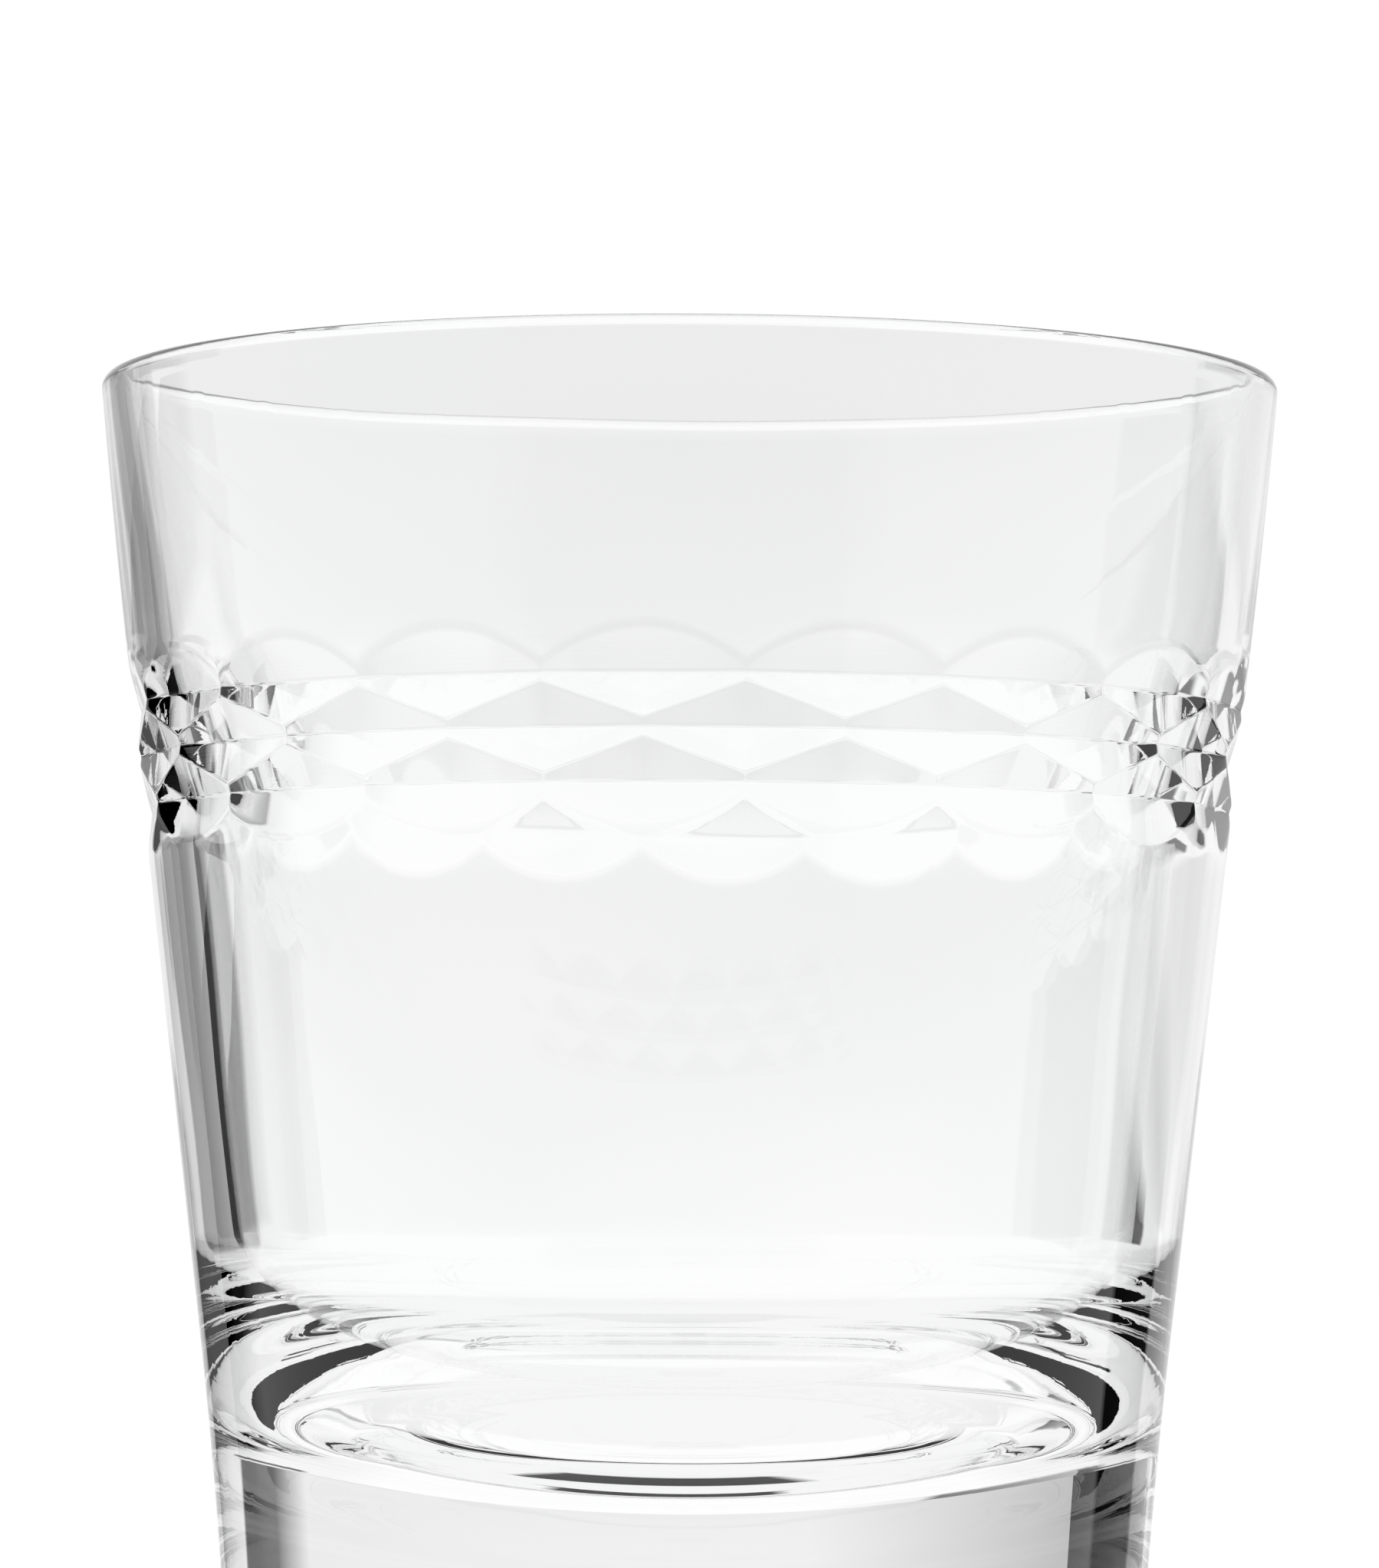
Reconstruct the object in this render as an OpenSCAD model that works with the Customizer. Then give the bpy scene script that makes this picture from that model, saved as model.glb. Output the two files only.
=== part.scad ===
// Cut-crystal whiskey tumbler, drawn as the zones that a glassmaker's drawing names.
// Millimetres, +Z up, origin at the centre of the standing face. The front is at -Y.

/* [Overall] */
// Height from the standing face to the top of the lip
height = 102; // [96:1:112]
// Outside diameter just under the lip
rim_d = 90; // [84:1:98]
// How far the wall leans out for each millimetre of height
wall_taper = 0.115; // [0.09:0.005:0.13]

/* [Wall] */
// Thickness of the wall at the lip
lip_t = 1.8; // [1.4:0.1:2.2]
// Thickness of the wall at the top of the cut band
band_t = 2.6; // [2.3:0.1:3]
// Thickness of the wall below the cut band
wall_t = 3.8; // [3.2:0.1:4.6]
// Height of the rounded and slightly upright lip zone
lip_h = 4; // [3:0.5:6]

/* [Cavity floor] */
// Thickness of the solid glass under the middle of the cavity
sham_t = 17; // [12:1:22]
// Radius of the shallow dish at the bottom of the cavity
dish_r = 64; // [50:1:90]
// Radius of the bend from the dish up into the wall
bend_r = 20; // [18:1:22]

/* [Cut band] */
// Number of mitre cuts in one row
cuts_per_row = 18; // [16:1:24]
// Number of rows, each turned half a cut from its neighbours
cut_rows = 3; // [1:1:3]
// Height from one row's valleys to the next row's
row_pitch = 3.9; // [3.6:0.1:4.2]
// Distance from the top of the lip down to the middle row
band_drop = 29.2; // [27:0.1:30]
// Depth left at the upright ridge between two neighbouring cuts
ridge_depth = 0.19; // [0.1:0.01:0.25]
// How far a facet opens outwards for each millimetre of height
facet_flare = 0.25; // [0.22:0.01:0.3]
// Turn of the pattern about the glass, in degrees
band_turn = -4.4; // [-10:0.1:10]

/* [Foot] */
// Width of the ground ring that the glass stands on
ring_w = 7; // [4:0.5:10]
// Depth of the hollow inside the ground ring
punt_depth = 1.2; // [0.6:0.1:1.8]
// Radius of the rounded lower edge
edge_r = 2; // [1:0.1:2.5]

/* [Hidden] */
$fn = 96;

// Heights of the joints between zones
band_margin = 8.2;
z_lip = height - lip_h;
z_round = height - lip_t / 2;
z_band_top = height - band_drop + band_margin;
z_band_low = height - band_drop - band_margin;
z_heel = sham_t + 5;
z_foot = 3;

// The outside is a straight taper that eases upright towards the lip and towards the foot
lip_ease_z = height - 19;
lip_ease_r = 750;
foot_ease_z = height - 73.5;
foot_ease_r = 450;
taper_r0 = rim_d / 2 + pow(height - 1 - lip_ease_z, 2) / (2 * lip_ease_r) + wall_taper;

function squared(x) = x > 0 ? x * x : 0;
function outer_r(z) = taper_r0 - wall_taper * (height - z)
    - squared(z - lip_ease_z) / (2 * lip_ease_r)
    + squared(foot_ease_z - z) / (2 * foot_ease_r);

// Above the cut band the wall thickens evenly, and across the band it swells along half a cosine
// wave to its full thickness, so that the inside is smooth at both ends of the band.
function band_way(z) = max(0, min(1, (z_band_top - z) / (z_band_top - z_band_low)));
function swell(z) = (1 - cos(180 * band_way(z))) / 2;
function upper_t(z) = lip_t + (band_t - lip_t) * (z_round - z) / (z_round - z_band_top);
function inner_r(z) = outer_r(z) - upper_t(z) * (1 - swell(z)) - wall_t * swell(z);

// The bend touches both the wall's straight taper and the dish. Its centre (bend_x, bend_z) is
// one bend radius inside the taper, and the dish and bend radii's difference from the dish's centre.
wall_a = atan(wall_taper);
dish_z = sham_t + dish_r;
taper_x0 = taper_r0 - wall_t - wall_taper * height - bend_r / cos(wall_a);
half_b = dish_z - taper_x0 * wall_taper;
rest_c = taper_x0 * taper_x0 + dish_z * dish_z - pow(dish_r - bend_r, 2);
bend_z = (half_b - sqrt(half_b * half_b - (1 + wall_taper * wall_taper) * rest_c))
    / (1 + wall_taper * wall_taper);
bend_x = taper_x0 + wall_taper * bend_z;
z_bend = bend_z - bend_r * sin(wall_a);
dish_a = asin(bend_x / (dish_r - bend_r));
heel_a = asin((bend_z - z_heel) / bend_r);
step_a = 4;
function turns(from, to) = let (n = ceil((to - from) / step_a))
    [for (i = [0:n]) from + (to - from) * i / n];
function bend(from, to) = [for (a = turns(from, to)) [bend_x + bend_r * cos(a), bend_z - bend_r * sin(a)]];
function dish() = [for (a = turns(0, dish_a))
    [dish_r * sin(dish_a - a), dish_z - dish_r * cos(dish_a - a)]];

// Points up the outside and down the inside between two heights
step_z = 2.5;
function heights(low, high) = let (n = ceil((high - low) / step_z))
    [for (i = [0:n]) low + (high - low) * i / n];
function outside(low, high) = [for (z = heights(low, high)) [outer_r(z), z]];
function inside(low, high) = [for (z = heights(low, high)) [inner_r(low + high - z), low + high - z]];

// A ring of wall between two heights
module wall_ring(low, high) {
    rotate_extrude()
        polygon(concat(outside(low, high), inside(low, high)));
}

// The lip: a ring of thin wall with a fully rounded top
module rim() {
    round_r = lip_t / 2;
    lip_x = inner_r(z_round) + round_r;
    color([0.90, 0.95, 0.96, 0.5])
        rotate_extrude()
            polygon(concat(
                outside(z_lip, z_round),
                [for (a = [15:15:165]) [lip_x + round_r * cos(a), z_round + round_r * sin(a)]],
                inside(z_lip, z_round)));
}

// The plain wall between the lip and the cut band
module upper_wall() {
    color([0.84, 0.91, 0.94, 0.5])
        wall_ring(z_band_top, z_lip);
}

// One mitre cut: a straight V groove with two flat facets, centred at a height and a turn
cut_half_h = 4.6;
cut_length = 22;
module mitre_cut(z, turn) {
    valley_r = (outer_r(z) - ridge_depth) * cos(180 / cuts_per_row);
    rotate([0, 0, turn])
        rotate([90, 0, 0])
            linear_extrude(height = cut_length, center = true)
                polygon([
                    [valley_r, z],
                    [valley_r + (facet_flare + wall_taper) * cut_half_h, z + cut_half_h],
                    [valley_r + (facet_flare - wall_taper) * cut_half_h, z - cut_half_h]]);
}

// The band of wall that carries the rows of mitre cuts
module cut_band() {
    cut_pitch = 360 / cuts_per_row;
    color([0.70, 0.82, 0.90, 0.6])
        difference() {
            wall_ring(z_band_low, z_band_top);
            for (row = [0:cut_rows - 1])
                for (i = [0:cuts_per_row - 1])
                    mitre_cut(
                        height - band_drop + ((cut_rows - 1) / 2 - row) * row_pitch,
                        band_turn - 90 + (i + (row % 2) / 2) * cut_pitch);
        }
}

// The plain wall from the cut band down to the bend
module lower_wall() {
    color([0.84, 0.91, 0.94, 0.5])
        wall_ring(z_bend, z_band_low);
}

// The thick glass around the bend at the bottom of the cavity
module heel() {
    color([0.78, 0.87, 0.92, 0.6])
        rotate_extrude()
            polygon(concat(outside(z_heel, z_bend), bend(wall_a, heel_a)));
}

// The solid sham, with the cavity's dished floor in its top
module base() {
    color([0.74, 0.85, 0.91, 0.6])
        rotate_extrude()
            polygon(concat([[0, z_foot]], outside(z_foot, z_heel), bend(heel_a, 90 - dish_a), dish()));
}

// The ground and polished foot: a flat standing ring around a shallow hollow
module foot() {
    foot_r = outer_r(z_foot);
    punt_w = foot_r - edge_r - ring_w;
    punt_r = (punt_w * punt_w + punt_depth * punt_depth) / (2 * punt_depth);
    color([0.66, 0.80, 0.88, 0.6])
        difference() {
            rotate_extrude()
                polygon(concat(
                    [[0, 0]],
                    [for (a = [-90:15:0]) [foot_r - edge_r + edge_r * cos(a), edge_r + edge_r * sin(a)]],
                    [[foot_r, z_foot], [0, z_foot]]));
            translate([0, 0, punt_depth - punt_r])
                sphere(r = punt_r, $fn = 180);
        }
}

rim();
upper_wall();
cut_band();
lower_wall();
heel();
base();
foot();
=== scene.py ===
"""Looks of the cut-crystal whiskey tumbler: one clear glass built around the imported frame.

The glass's sizes are in millimetres here, as in the CAD source, and turn into metres when its mesh is
made. The studio's sizes are in metres.
"""

import math

import bpy
import numpy as np
from mathutils import Matrix, Vector


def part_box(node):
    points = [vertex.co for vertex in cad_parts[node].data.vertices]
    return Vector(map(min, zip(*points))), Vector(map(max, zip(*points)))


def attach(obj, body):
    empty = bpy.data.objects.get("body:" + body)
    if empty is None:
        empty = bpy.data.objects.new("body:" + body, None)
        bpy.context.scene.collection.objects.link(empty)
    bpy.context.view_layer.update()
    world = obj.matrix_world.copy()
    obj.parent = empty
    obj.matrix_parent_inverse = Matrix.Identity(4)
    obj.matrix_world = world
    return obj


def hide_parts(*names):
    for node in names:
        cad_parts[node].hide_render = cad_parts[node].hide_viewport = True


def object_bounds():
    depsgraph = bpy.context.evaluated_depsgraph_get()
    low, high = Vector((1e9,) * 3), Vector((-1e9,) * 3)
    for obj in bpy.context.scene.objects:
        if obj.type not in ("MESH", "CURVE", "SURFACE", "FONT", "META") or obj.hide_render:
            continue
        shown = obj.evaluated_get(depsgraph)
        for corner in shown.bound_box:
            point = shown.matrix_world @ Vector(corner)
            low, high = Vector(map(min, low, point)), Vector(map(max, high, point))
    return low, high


MM = 0.001

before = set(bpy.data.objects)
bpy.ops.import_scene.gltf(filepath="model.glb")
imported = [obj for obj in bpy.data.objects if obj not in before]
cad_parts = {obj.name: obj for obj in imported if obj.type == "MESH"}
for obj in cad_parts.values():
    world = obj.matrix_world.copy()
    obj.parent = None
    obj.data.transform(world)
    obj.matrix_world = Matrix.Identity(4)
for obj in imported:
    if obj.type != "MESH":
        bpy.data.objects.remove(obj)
cad_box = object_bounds()


# ---------------------------------------------------------------- sizes, from the frame

def top_of(node):
    """Height of a CAD node's top in millimetres."""
    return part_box(node)[1].z / MM


HEIGHT = cad_box[1].z / MM
Z_BAND_TOP = top_of("cut_band")
Z_BAND_LOW = top_of("lower_wall")
Z_FOOT = top_of("foot")

# The wall: a straight taper that eases upright towards the lip and the foot. RIM_R is the outside's
# radius at RIM_DROP below the top
RIM_R = 45.0
RIM_DROP = 1
TAPER = 0.115
LIP_EASE_Z = HEIGHT - 19
LIP_EASE_R = 750
FOOT_EASE_Z = HEIGHT - 73.5
FOOT_EASE_R = 450
TAPER_R0 = RIM_R + (HEIGHT - RIM_DROP - LIP_EASE_Z) ** 2 / (2 * LIP_EASE_R) + TAPER * RIM_DROP
LIP_T = 1.8     # thickness at the lip
BAND_T = 2.6    # at the top of the cut band
WALL_T = 3.8    # below the band
Z_ROUND = HEIGHT - LIP_T / 2

# The cavity's floor: a shallow dish, and a bend up into the wall
SHAM_T = 17
DISH_R = 64
BEND_R = 20
DISH_Z = SHAM_T + DISH_R

# The cut band: rows of straight V cuts, each row turned half a cut from its neighbours
CUTS = 18
PITCH = 2 * math.pi / CUTS
BAND_TURN = math.radians(-4.4)
BAND_Z = (Z_BAND_TOP + Z_BAND_LOW) / 2
ROW_PITCH = 3.9
ROW_Z = [BAND_Z + ROW_PITCH, BAND_Z, BAND_Z - ROW_PITCH]
ROW_TURN = [BAND_TURN, BAND_TURN + PITCH / 2, BAND_TURN]
RIDGE_DEPTH = 0.19    # how far the middle of a ridge between cuts lies inside the uncut wall
FLARE = 0.25          # slope of a facet against the wall
EDGE_SOFTNESS = 0.08
OUTLINE_SOFTNESS = 0.18

# The foot: a flat ground ring with rounded edges around a shallow hollow
EDGE_R = 2.0
RING_W = 7.0
PUNT_DEPTH = 1.2

# Unevenness that hand work leaves in the wall. Each wave has a height, the number of waves around the
# glass, the height over which it turns by one radian, and a start angle
WAVES = [(0.030, 3, 9, 0.7), (0.016, 5, -6, 2.1), (0.005, 11, 4, 4.0)]
WAVE_FADE = 12
WAVE_START_Z = SHAM_T + 4


def squared_above_zero(x):
    return np.maximum(x, 0) ** 2


def outer_r(z):
    """Radius of the uncut outside at height z."""
    return (TAPER_R0 - TAPER * (HEIGHT - z)
            - squared_above_zero(z - LIP_EASE_Z) / (2 * LIP_EASE_R)
            + squared_above_zero(FOOT_EASE_Z - z) / (2 * FOOT_EASE_R))


def inner_r(z):
    """Radius of the cavity's wall at height z.

    The glass thickens evenly down to the cut band, and along half a cosine wave across it."""
    way = np.clip((Z_BAND_TOP - z) / (Z_BAND_TOP - Z_BAND_LOW), 0, 1)
    swell = (1 - np.cos(math.pi * way)) / 2
    upper_t = LIP_T + (BAND_T - LIP_T) * (Z_ROUND - z) / (Z_ROUND - Z_BAND_TOP)
    return outer_r(z) - upper_t * (1 - swell) - WALL_T * swell


def waviness(angle, z):
    """How far the inside wall strays from round, fading out towards the lip and the floor."""
    waves = sum(height * np.sin(count * angle + z / rise + start) for height, count, rise, start in WAVES)
    fade = np.clip((Z_ROUND - z) / WAVE_FADE, 0, 1) * np.clip((z - WAVE_START_Z) / WAVE_FADE, 0, 1)
    return waves * fade


# ---------------------------------------------------------------- the cut band

def smooth_min(a, b, k):
    """The lower of a and b, with the corner between them rounded over a depth of about k / 4."""
    h = np.maximum(k - np.abs(a - b), 0) / k
    return np.minimum(a, b) - h * h * k / 4


def nearest_turn(angle, turn):
    """Angle to the middle of the nearest cut in a row."""
    return (angle - turn + PITCH / 2) % PITCH - PITCH / 2


def valley_r(z):
    """Distance from the axis to the valley of a cut at height z."""
    return (outer_r(z) - RIDGE_DEPTH) * math.cos(PITCH / 2)


def cut_r(away, z, row_z):
    """Radius of the V cut's two facets at an angle away from its middle."""
    rise = z - row_z
    upper = valley_r(row_z) + (TAPER + FLARE) * rise
    lower = valley_r(row_z) + (TAPER - FLARE) * rise
    return -smooth_min(-upper, -lower, EDGE_SOFTNESS) / np.cos(away)


def row_r(angle, z, row):
    """Radius of one row of cuts, rounded at the upright ridges between neighbours."""
    away = nearest_turn(angle, ROW_TURN[row])
    beyond = away - np.where(away < 0, -PITCH, PITCH)
    return smooth_min(cut_r(away, z, ROW_Z[row]), cut_r(beyond, z, ROW_Z[row]), EDGE_SOFTNESS)


def band_r(angle, z):
    """Radius of the outside with its cuts."""
    rows = smooth_min(row_r(angle, z, 0), row_r(angle, z, 1), EDGE_SOFTNESS)
    rows = smooth_min(rows, row_r(angle, z, 2), EDGE_SOFTNESS)
    return smooth_min(rows, outer_r(z), OUTLINE_SOFTNESS)


def outline_z(angle, row, side):
    """Height at which a row's facets run out into the wall, above (side 1) or below (side -1)."""
    cos = np.cos(nearest_turn(angle, ROW_TURN[row]))
    z = ROW_Z[row]
    return z + (outer_r(z) * cos - valley_r(z)) / (TAPER + side * FLARE - TAPER * cos)


def ridge_z(angle, row):
    """Height of the ridge between a row and the next row down."""
    upper_cos = np.cos(nearest_turn(angle, ROW_TURN[row]))
    lower_cos = np.cos(nearest_turn(angle, ROW_TURN[row + 1]))
    upper_slope = (TAPER - FLARE) / upper_cos
    lower_slope = (TAPER + FLARE) / lower_cos
    upper_0 = valley_r(ROW_Z[row]) / upper_cos - upper_slope * ROW_Z[row]
    lower_0 = valley_r(ROW_Z[row + 1]) / lower_cos - lower_slope * ROW_Z[row + 1]
    return (lower_0 - upper_0) / (upper_slope - lower_slope)


def band_knots(angle):
    """Heights of the edges that each upright line of the band crosses, from the top down.

    Each comes with how far its rounding spreads, against that of the sharper edges."""
    flat = np.zeros_like(angle)
    knots = [(outline_z(angle, 0, 1), 2)]
    for row in range(2):
        knots += [(flat + ROW_Z[row], 1), (ridge_z(angle, row), 1)]
    return knots + [(flat + ROW_Z[2], 1), (outline_z(angle, 2, -1), 2)]


# ---------------------------------------------------------------- the glass mesh

# Distances of the mesh lines on both sides of an edge of the cuts, in millimetres
EDGE_STEPS = (0.22, 0.1, 0.05, 0, -0.05, -0.1, -0.22)

# Where the extra rings lie on the way from the band's top to its first edge, and from its last edge to
# its bottom
ABOVE_EDGES = (0.3, 0.6, 0.85)
BELOW_EDGES = (0.15, 0.4, 0.7)

PLAIN_COLUMNS = 9        # upright mesh lines between two ridges, beside those next to the ridges
MIN_CUT_DEPTH = 0.004    # millimetres below the uncut wall at which a face counts as cut

# Points along each stretch of the outline
DISH_POINTS = 60
BEND_POINTS = 46
INNER_WALL_POINTS = 60
LIP_POINTS = 24
UPPER_WALL_POINTS = 22
LOWER_WALL_POINTS = 40
FOOT_EDGE_POINTS = 14
FOOT_RING_POINTS = 8
HOLLOW_POINTS = 26


def column_angles():
    """Angles of the mesh's upright lines, with extra ones beside the ridges between cuts."""
    sector = PITCH / 2
    beside = [math.asin(step / RIM_R) for step in EDGE_STEPS]
    plain = np.linspace(0, sector, PLAIN_COLUMNS + 1, endpoint=False)[1:]
    one = np.sort(np.concatenate([beside, plain]))
    return np.concatenate([BAND_TURN + i * sector + one for i in range(2 * CUTS)])


def inside_profile():
    """The cavity's outline from the middle of the dish up to the lip, as r and z.

    The bend is a circle that touches the dish from within and the straight wall."""
    wall_a = math.atan(TAPER)
    x0 = TAPER_R0 - WALL_T - TAPER * HEIGHT - BEND_R / math.cos(wall_a)
    half_b = DISH_Z - x0 * TAPER
    rest_c = x0 ** 2 + DISH_Z ** 2 - (DISH_R - BEND_R) ** 2
    bend_z = (half_b - math.sqrt(half_b ** 2 - (1 + TAPER ** 2) * rest_c)) / (1 + TAPER ** 2)
    bend_x = x0 + TAPER * bend_z
    dish_a = math.asin(bend_x / (DISH_R - BEND_R))
    dish = [(DISH_R * math.sin(a), DISH_Z - DISH_R * math.cos(a))
            for a in np.linspace(0, dish_a, DISH_POINTS)[1:]]
    bend = [(bend_x + BEND_R * math.sin(a), bend_z - BEND_R * math.cos(a))
            for a in np.linspace(dish_a, math.pi / 2 - wall_a, BEND_POINTS)[1:]]
    wall_low = bend_z - BEND_R * math.sin(wall_a)
    wall = [(float(inner_r(z)), z) for z in np.linspace(wall_low, Z_ROUND, INNER_WALL_POINTS)[1:]]
    return dish + bend + wall


def lip_profile():
    """The rounded lip from its inside over the top to its outside."""
    r = LIP_T / 2
    x = float(inner_r(Z_ROUND)) + r
    return [(x + r * math.cos(a), Z_ROUND + r * math.sin(a))
            for a in np.linspace(math.pi, 0, LIP_POINTS)[1:-1]]


def foot_profile():
    """The foot from the outside edge under the ring and across the hollow to the middle."""
    foot_r = float(outer_r(Z_FOOT))
    punt_w = foot_r - EDGE_R - RING_W
    punt_r = (punt_w ** 2 + PUNT_DEPTH ** 2) / (2 * PUNT_DEPTH)
    edge = [(foot_r - EDGE_R + EDGE_R * math.cos(a), EDGE_R - EDGE_R * math.sin(a))
            for a in np.linspace(0, math.pi / 2, FOOT_EDGE_POINTS)]
    ring = [(r, 0.0) for r in np.linspace(foot_r - EDGE_R, punt_w, FOOT_RING_POINTS)[1:]]
    hollow = [(r, PUNT_DEPTH - punt_r + math.sqrt(punt_r ** 2 - r ** 2))
              for r in np.linspace(punt_w, 0, HOLLOW_POINTS)[1:-1]]
    return edge + ring + hollow


def glass_rings(angles):
    """Rings of points from the middle of the cavity's floor over the lip to the middle of the foot.

    Gives the rings' radii and heights, one row for each ring, and the number of the first and last
    ring of the cut band."""
    flat = np.zeros_like(angles)
    rings = [(r + waviness(angles, z), flat + z) for r, z in inside_profile()]
    rings += [(flat + r, flat + z) for r, z in lip_profile()]
    for z in np.linspace(Z_ROUND, Z_BAND_TOP, UPPER_WALL_POINTS):
        rings.append((flat + outer_r(z), flat + z))
    knots = band_knots(angles)
    first = len(rings)
    top = knots[0][0] + 2 * EDGE_STEPS[0]
    for part in ABOVE_EDGES:
        z = Z_BAND_TOP + (top - Z_BAND_TOP) * part
        rings.append((band_r(angles, z), z))
    for knot, spread in knots:
        for step in EDGE_STEPS:
            z = knot + step * spread
            rings.append((band_r(angles, z), z))
    low = knots[-1][0] + 2 * EDGE_STEPS[-1]
    for part in BELOW_EDGES:
        z = low + (Z_BAND_LOW - low) * part
        rings.append((band_r(angles, z), z))
    last = len(rings)
    for z in np.linspace(Z_BAND_LOW, EDGE_R, LOWER_WALL_POINTS)[:-1]:
        rings.append((flat + outer_r(z), flat + z))
    rings += [(flat + r, flat + z) for r, z in foot_profile()]
    radii = np.array([r for r, _ in rings])
    heights = np.array([z for _, z in rings])
    return radii, heights, first, last


def glass_mesh():
    """One closed mesh of the whole glass. Faces of the cuts take the second material.

    Angle 0 is at the front, which is -Y."""
    angles = column_angles()
    radii, heights, first, last = glass_rings(angles)
    rings, columns = radii.shape
    points = np.stack([radii * np.sin(angles), -radii * np.cos(angles), heights], axis=-1)
    ends = np.array([[0, 0, SHAM_T], [0, 0, PUNT_DEPTH]])
    verts = np.concatenate([points.reshape(-1, 3), ends]) * MM
    grid = np.arange(rings * columns).reshape(rings, columns)
    turned = np.roll(grid, -1, axis=1)
    quads = np.stack([grid[:-1], grid[1:], turned[1:], turned[:-1]], axis=-1).reshape(-1, 4)
    floor_tris = [(int(a), int(b), len(verts) - 2) for a, b in zip(grid[0], turned[0])]
    foot_tris = [(int(a), int(b), len(verts) - 1) for a, b in zip(turned[-1], grid[-1])]
    mesh = bpy.data.meshes.new("tumbler_glass")
    mesh.from_pydata(verts.tolist(), [], quads.tolist() + floor_tris + foot_tris)
    mesh.polygons.foreach_set("use_smooth", [True] * len(mesh.polygons))
    depth = outer_r(heights) - radii
    cut_ring = (np.arange(rings - 1) >= first) & (np.arange(rings - 1) < last)
    deep = (depth[:-1] > MIN_CUT_DEPTH) & (depth[1:] > MIN_CUT_DEPTH) & cut_ring[:, None]
    slots = np.concatenate([deep.reshape(-1).astype(int), np.zeros(2 * columns, int)])
    mesh.polygons.foreach_set("material_index", slots)
    mesh.update()
    mesh.validate()
    return mesh


# ---------------------------------------------------------------- materials

IOR = 1.53


def add_tint(nodes, links, noise, shader):
    """A faint unevenness of colour, from a hint of grey-green to none."""
    tint = nodes.new("ShaderNodeValToRGB")
    low, high = tint.color_ramp.elements
    low.position = 0.3
    low.color = (0.990, 0.995, 0.995, 1)
    high.position = 0.7
    high.color = (1.0, 1.0, 1.0, 1)
    links.new(noise.outputs["Fac"], tint.inputs["Fac"])
    links.new(tint.outputs["Color"], shader.inputs["Base Color"])


def add_polish(nodes, links, noise, shader, roughness):
    """A surface whose polish varies between two roughnesses."""
    polish = nodes.new("ShaderNodeMapRange")
    polish.inputs["From Min"].default_value = 0.45
    polish.inputs["From Max"].default_value = 0.8
    polish.inputs["To Min"].default_value = roughness[0]
    polish.inputs["To Max"].default_value = roughness[1]
    links.new(noise.outputs["Fac"], polish.inputs["Value"])
    links.new(polish.outputs["Result"], shader.inputs["Roughness"])


def add_relief(nodes, links, where, shader, height, scale):
    """A very fine relief, stretched by its scale along each axis."""
    stretch = nodes.new("ShaderNodeMapping")
    stretch.inputs["Scale"].default_value = scale
    links.new(where.outputs["Object"], stretch.inputs["Vector"])
    lines = nodes.new("ShaderNodeTexNoise")
    lines.inputs["Scale"].default_value = 1.0
    lines.inputs["Detail"].default_value = 1.0
    links.new(stretch.outputs["Vector"], lines.inputs["Vector"])
    bump = nodes.new("ShaderNodeBump")
    bump.inputs["Strength"].default_value = 1.0
    bump.inputs["Distance"].default_value = height
    links.new(lines.outputs["Fac"], bump.inputs["Height"])
    links.new(bump.outputs["Normal"], shader.inputs["Normal"])


def glass_material(name, roughness, relief_height, relief_scale):
    """Clear crystal with a faint unevenness of colour, polish and surface."""
    mat = bpy.data.materials.new(name)
    mat.use_nodes = True
    nodes, links = mat.node_tree.nodes, mat.node_tree.links
    shader = nodes["Principled BSDF"]
    shader.inputs["Transmission Weight"].default_value = 1.0
    shader.inputs["IOR"].default_value = IOR
    where = nodes.new("ShaderNodeTexCoord")
    noise = nodes.new("ShaderNodeTexNoise")
    noise.inputs["Scale"].default_value = 35.0
    noise.inputs["Detail"].default_value = 2.0
    links.new(where.outputs["Object"], noise.inputs["Vector"])
    add_tint(nodes, links, noise, shader)
    add_polish(nodes, links, noise, shader, roughness)
    add_relief(nodes, links, where, shader, relief_height, relief_scale)
    return mat


def polished_crystal():
    return glass_material("polished_crystal", (0.0, 0.006), 0.002 * MM, (25, 25, 25))


def cut_crystal():
    """Less polished, with fine lines around the glass that the cutting wheel leaves."""
    return glass_material("cut_crystal", (0.0, 0.02), 0.0012 * MM, (150, 150, 5000))


# ---------------------------------------------------------------- the object

def build_glass():
    """One mesh for all the nodes, because faces inside the glass would show."""
    piece = bpy.data.objects.new("tumbler_glass", glass_mesh())
    bpy.context.scene.collection.objects.link(piece)
    piece.data.materials.append(polished_crystal())
    piece.data.materials.append(cut_crystal())
    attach(piece, "root")
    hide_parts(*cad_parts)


# ---------------------------------------------------------------- the studio

FLOOR_Z = -0.1 * MM
FLOOR_HALF = 6.0    # half the sheet's width
PAPER = (0.93, 0.93, 0.93, 1)


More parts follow.
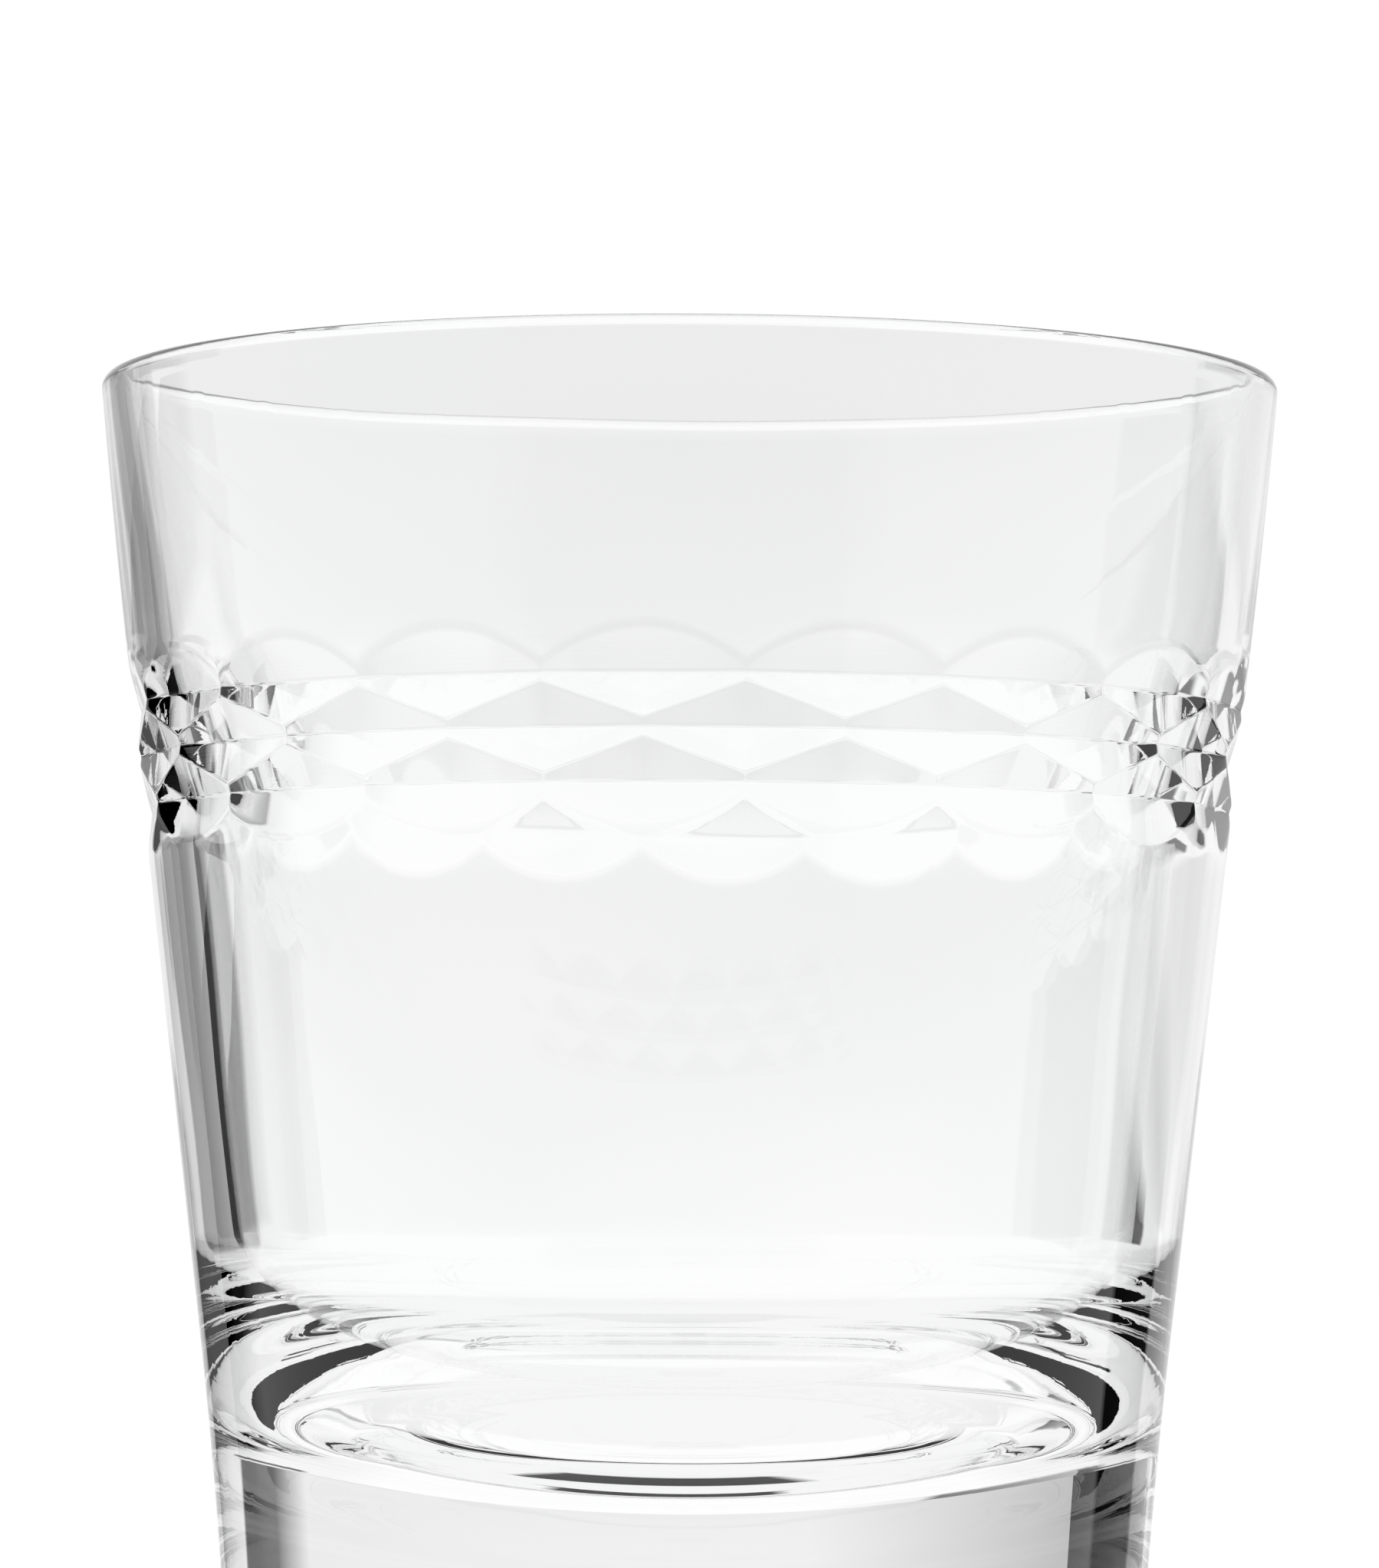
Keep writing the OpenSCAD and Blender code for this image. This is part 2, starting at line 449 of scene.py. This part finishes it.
def build_floor():
    """A wide sheet of white paper, a hair below the foot so that no two faces coincide.

    The glass doesn't see it. The surround and the cards stand for it there."""
    corners = [(-FLOOR_HALF, -FLOOR_HALF), (FLOOR_HALF, -FLOOR_HALF),
               (FLOOR_HALF, FLOOR_HALF), (-FLOOR_HALF, FLOOR_HALF)]
    mesh = bpy.data.meshes.new("floor")
    mesh.from_pydata([(x, y, FLOOR_Z) for x, y in corners], [], [(0, 1, 2, 3)])
    floor = bpy.data.objects.new("floor", mesh)
    mat = bpy.data.materials.new("floor_paper")
    mat.use_nodes = True
    shader = mat.node_tree.nodes["Principled BSDF"]
    shader.inputs["Base Color"].default_value = PAPER
    shader.inputs["Roughness"].default_value = 0.9
    mesh.materials.append(mat)
    bpy.context.scene.collection.objects.link(floor)
    floor.visible_transmission = False
    floor.visible_glossy = False


def build_lamp():
    """A wide soft lamp overhead that keeps the paper white and isn't seen in the glass."""
    data = bpy.data.lights.new("soft_lamp", "SUN")
    data.energy = 1.0
    data.angle = math.radians(120)
    lamp = bpy.data.objects.new("soft_lamp", data)
    lamp.visible_transmission = False
    lamp.visible_glossy = False
    bpy.context.scene.collection.objects.link(lamp)


CARD_DISTANCE = 20.0     # from the middle of the glass to the first card
CARD_GAP = 0.1           # between each card and the next
CARD_STEP = 5            # greatest number of degrees between mesh lines where a card doesn't fade

# Each card's azimuths and elevations in degrees, its brightness, and how many degrees it fades over at
# its low and high azimuth and its low and high elevation. Azimuth 0 is behind the glass and 90 is at
# its right. Later cards stand in front of earlier ones.
CARDS = {
    "horizon_shade": ((-60, 60), (0, 8), 0.84, (15, 15, 4, 2)),
    "table_glow": ((-34, 34), (-40, 1), 1.0, (8, 8, 4, 4)),
    "left_panel": ((-47, -10), (-16, 10), 0.45, (0, 34, 4, 2)),
    "left_low_flag": ((-64, -40), (-7, -3), 0.05, (5, 4, 1, 0)),
    "left_flag": ((-50, -19), (-14, 2.6), 0.0, (5, 2, 4, 0)),
    "left_high_flag": ((-78, -43), (3, 11), 0.0, (2, 0, 0, 1)),
    "right_high_flag": ((41, 62), (3, 10), 0.08, (8, 1, 1, 1)),
    "right_flag": ((20, 48), (-3, 3), 0.75, (6, 4, 1, 1)),
    "right_low_flag": ((38, 62), (-9, -3), 0.03, (2, 2, 1, 1)),
    "top_flag": ((-10, 14), (38, 54), 0.0, (2, 2, 1, 2)),
    "front_upper_flag": ((140, 220), (14, 35), 0.6, (6, 6, 5, 5)),
    "front_middle_flag": ((140, 220), (-10, -3), 0.75, (4, 4, 2, 2)),
    "front_lower_flag": ((140, 220), (-40, -15), 0.6, (6, 6, 6, 4)),
}


def card_material(name, brightness):
    """A matt studio card: plain light, which fades out where the card's cover attribute falls to zero."""
    mat = bpy.data.materials.new(name)
    mat.use_nodes = True
    nodes, links = mat.node_tree.nodes, mat.node_tree.links
    nodes.clear()
    glow = nodes.new("ShaderNodeEmission")
    glow.inputs["Strength"].default_value = brightness
    cover = nodes.new("ShaderNodeAttribute")
    cover.attribute_name = "cover"
    mix = nodes.new("ShaderNodeMixShader")
    links.new(cover.outputs["Fac"], mix.inputs["Fac"])
    links.new(nodes.new("ShaderNodeBsdfTransparent").outputs["BSDF"], mix.inputs[1])
    links.new(glow.outputs["Emission"], mix.inputs[2])
    out = nodes.new("ShaderNodeOutputMaterial")
    links.new(mix.outputs["Shader"], out.inputs["Surface"])
    return mat


def card_knots(low, high, fade_low, fade_high):
    """Angles across a card with the cover at each: 1 on the card, and 0 where a faded edge ends."""
    inner_low, inner_high = low + fade_low, high - fade_high
    steps = max(1, math.ceil((inner_high - inner_low) / CARD_STEP))
    knots = [(float(a), 1.0) for a in np.linspace(inner_low, inner_high, steps + 1)]
    if fade_low:
        knots.insert(0, (low, 0.0))
    if fade_high:
        knots.append((high, 0.0))
    return knots


def build_card(name, distance, azimuth, elevation, brightness, fades):
    """A curved card around the glass that only reflections and refractions see."""
    columns = card_knots(*azimuth, fades[0], fades[1])
    rows = card_knots(*elevation, fades[2], fades[3])
    centre = Vector((0, 0, HEIGHT / 2 * MM))
    corners, cover = [], []
    for up_deg, row_cover in rows:
        for side_deg, column_cover in columns:
            side, up = math.radians(side_deg), math.radians(up_deg)
            way = Vector((math.sin(side) * math.cos(up), math.cos(side) * math.cos(up), math.sin(up)))
            corners.append(tuple(centre + way * distance))
            cover.append(row_cover * column_cover)
    wide = len(columns)
    faces = [(j * wide + i, j * wide + i + 1, (j + 1) * wide + i + 1, (j + 1) * wide + i)
             for j in range(len(rows) - 1) for i in range(wide - 1)]
    mesh = bpy.data.meshes.new(name)
    mesh.from_pydata(corners, [], faces)
    mesh.attributes.new("cover", "FLOAT", "POINT").data.foreach_set("value", cover)
    mesh.materials.append(card_material(name, brightness))
    card = bpy.data.objects.new(name, mesh)
    bpy.context.scene.collection.objects.link(card)
    card.visible_camera = False
    card.visible_diffuse = False
    card.visible_shadow = False


def build_cards():
    """The cards, each a little nearer than the one before, so that none touch."""
    for number, (name, card) in enumerate(CARDS.items()):
        build_card(name, CARD_DISTANCE - number * CARD_GAP, *card)


SURROUND_LEVEL = 0.93
BACKGROUND_LEVEL = 1.0


def build_world():
    """Soft white light all round. The background is a little brighter than what the glass sees."""
    world = bpy.data.worlds.new("studio")
    bpy.context.scene.world = world
    world.use_nodes = True
    nodes, links = world.node_tree.nodes, world.node_tree.links
    back = nodes["Background"]
    back.inputs["Color"].default_value = (1, 1, 1, 1)
    path = nodes.new("ShaderNodeLightPath")
    level = nodes.new("ShaderNodeMapRange")
    level.inputs["To Min"].default_value = SURROUND_LEVEL
    level.inputs["To Max"].default_value = BACKGROUND_LEVEL
    links.new(path.outputs["Is Camera Ray"], level.inputs["Value"])
    links.new(level.outputs["Result"], back.inputs["Strength"])


CAMERA_AT = (0.00012, -0.5838, 0.03575)
CAMERA_PITCH = 3.474
CAMERA_ROLL = 0.26
CAMERA_LENS = 175.4


def build_camera():
    """A view from low over the table, looking slightly up."""
    cam_data = bpy.data.cameras.new("camera")
    cam = bpy.data.objects.new("camera", cam_data)
    cam_data.lens = CAMERA_LENS
    cam_data.sensor_width = 36
    cam_data.clip_start = 0.05
    cam_data.clip_end = 50
    level = Matrix.Rotation(math.pi / 2 + math.radians(CAMERA_PITCH), 4, "X")
    turn = level @ Matrix.Rotation(math.radians(CAMERA_ROLL), 4, "Z")
    cam.matrix_world = Matrix.Translation(CAMERA_AT) @ turn
    bpy.context.scene.collection.objects.link(cam)
    bpy.context.scene.camera = cam


MAX_BOUNCES = 10


def light_paths():
    """Enough bounces for four walls of glass, and few enough that light caught in the base dies out."""
    scene = bpy.context.scene
    scene.cycles.max_bounces = MAX_BOUNCES
    scene.cycles.transmission_bounces = MAX_BOUNCES
    scene.cycles.glossy_bounces = MAX_BOUNCES


def plain_whites():
    bpy.context.scene.view_settings.view_transform = "Standard"


build_glass()
build_floor()
build_lamp()
build_cards()
build_world()
build_camera()
light_paths()
plain_whites()
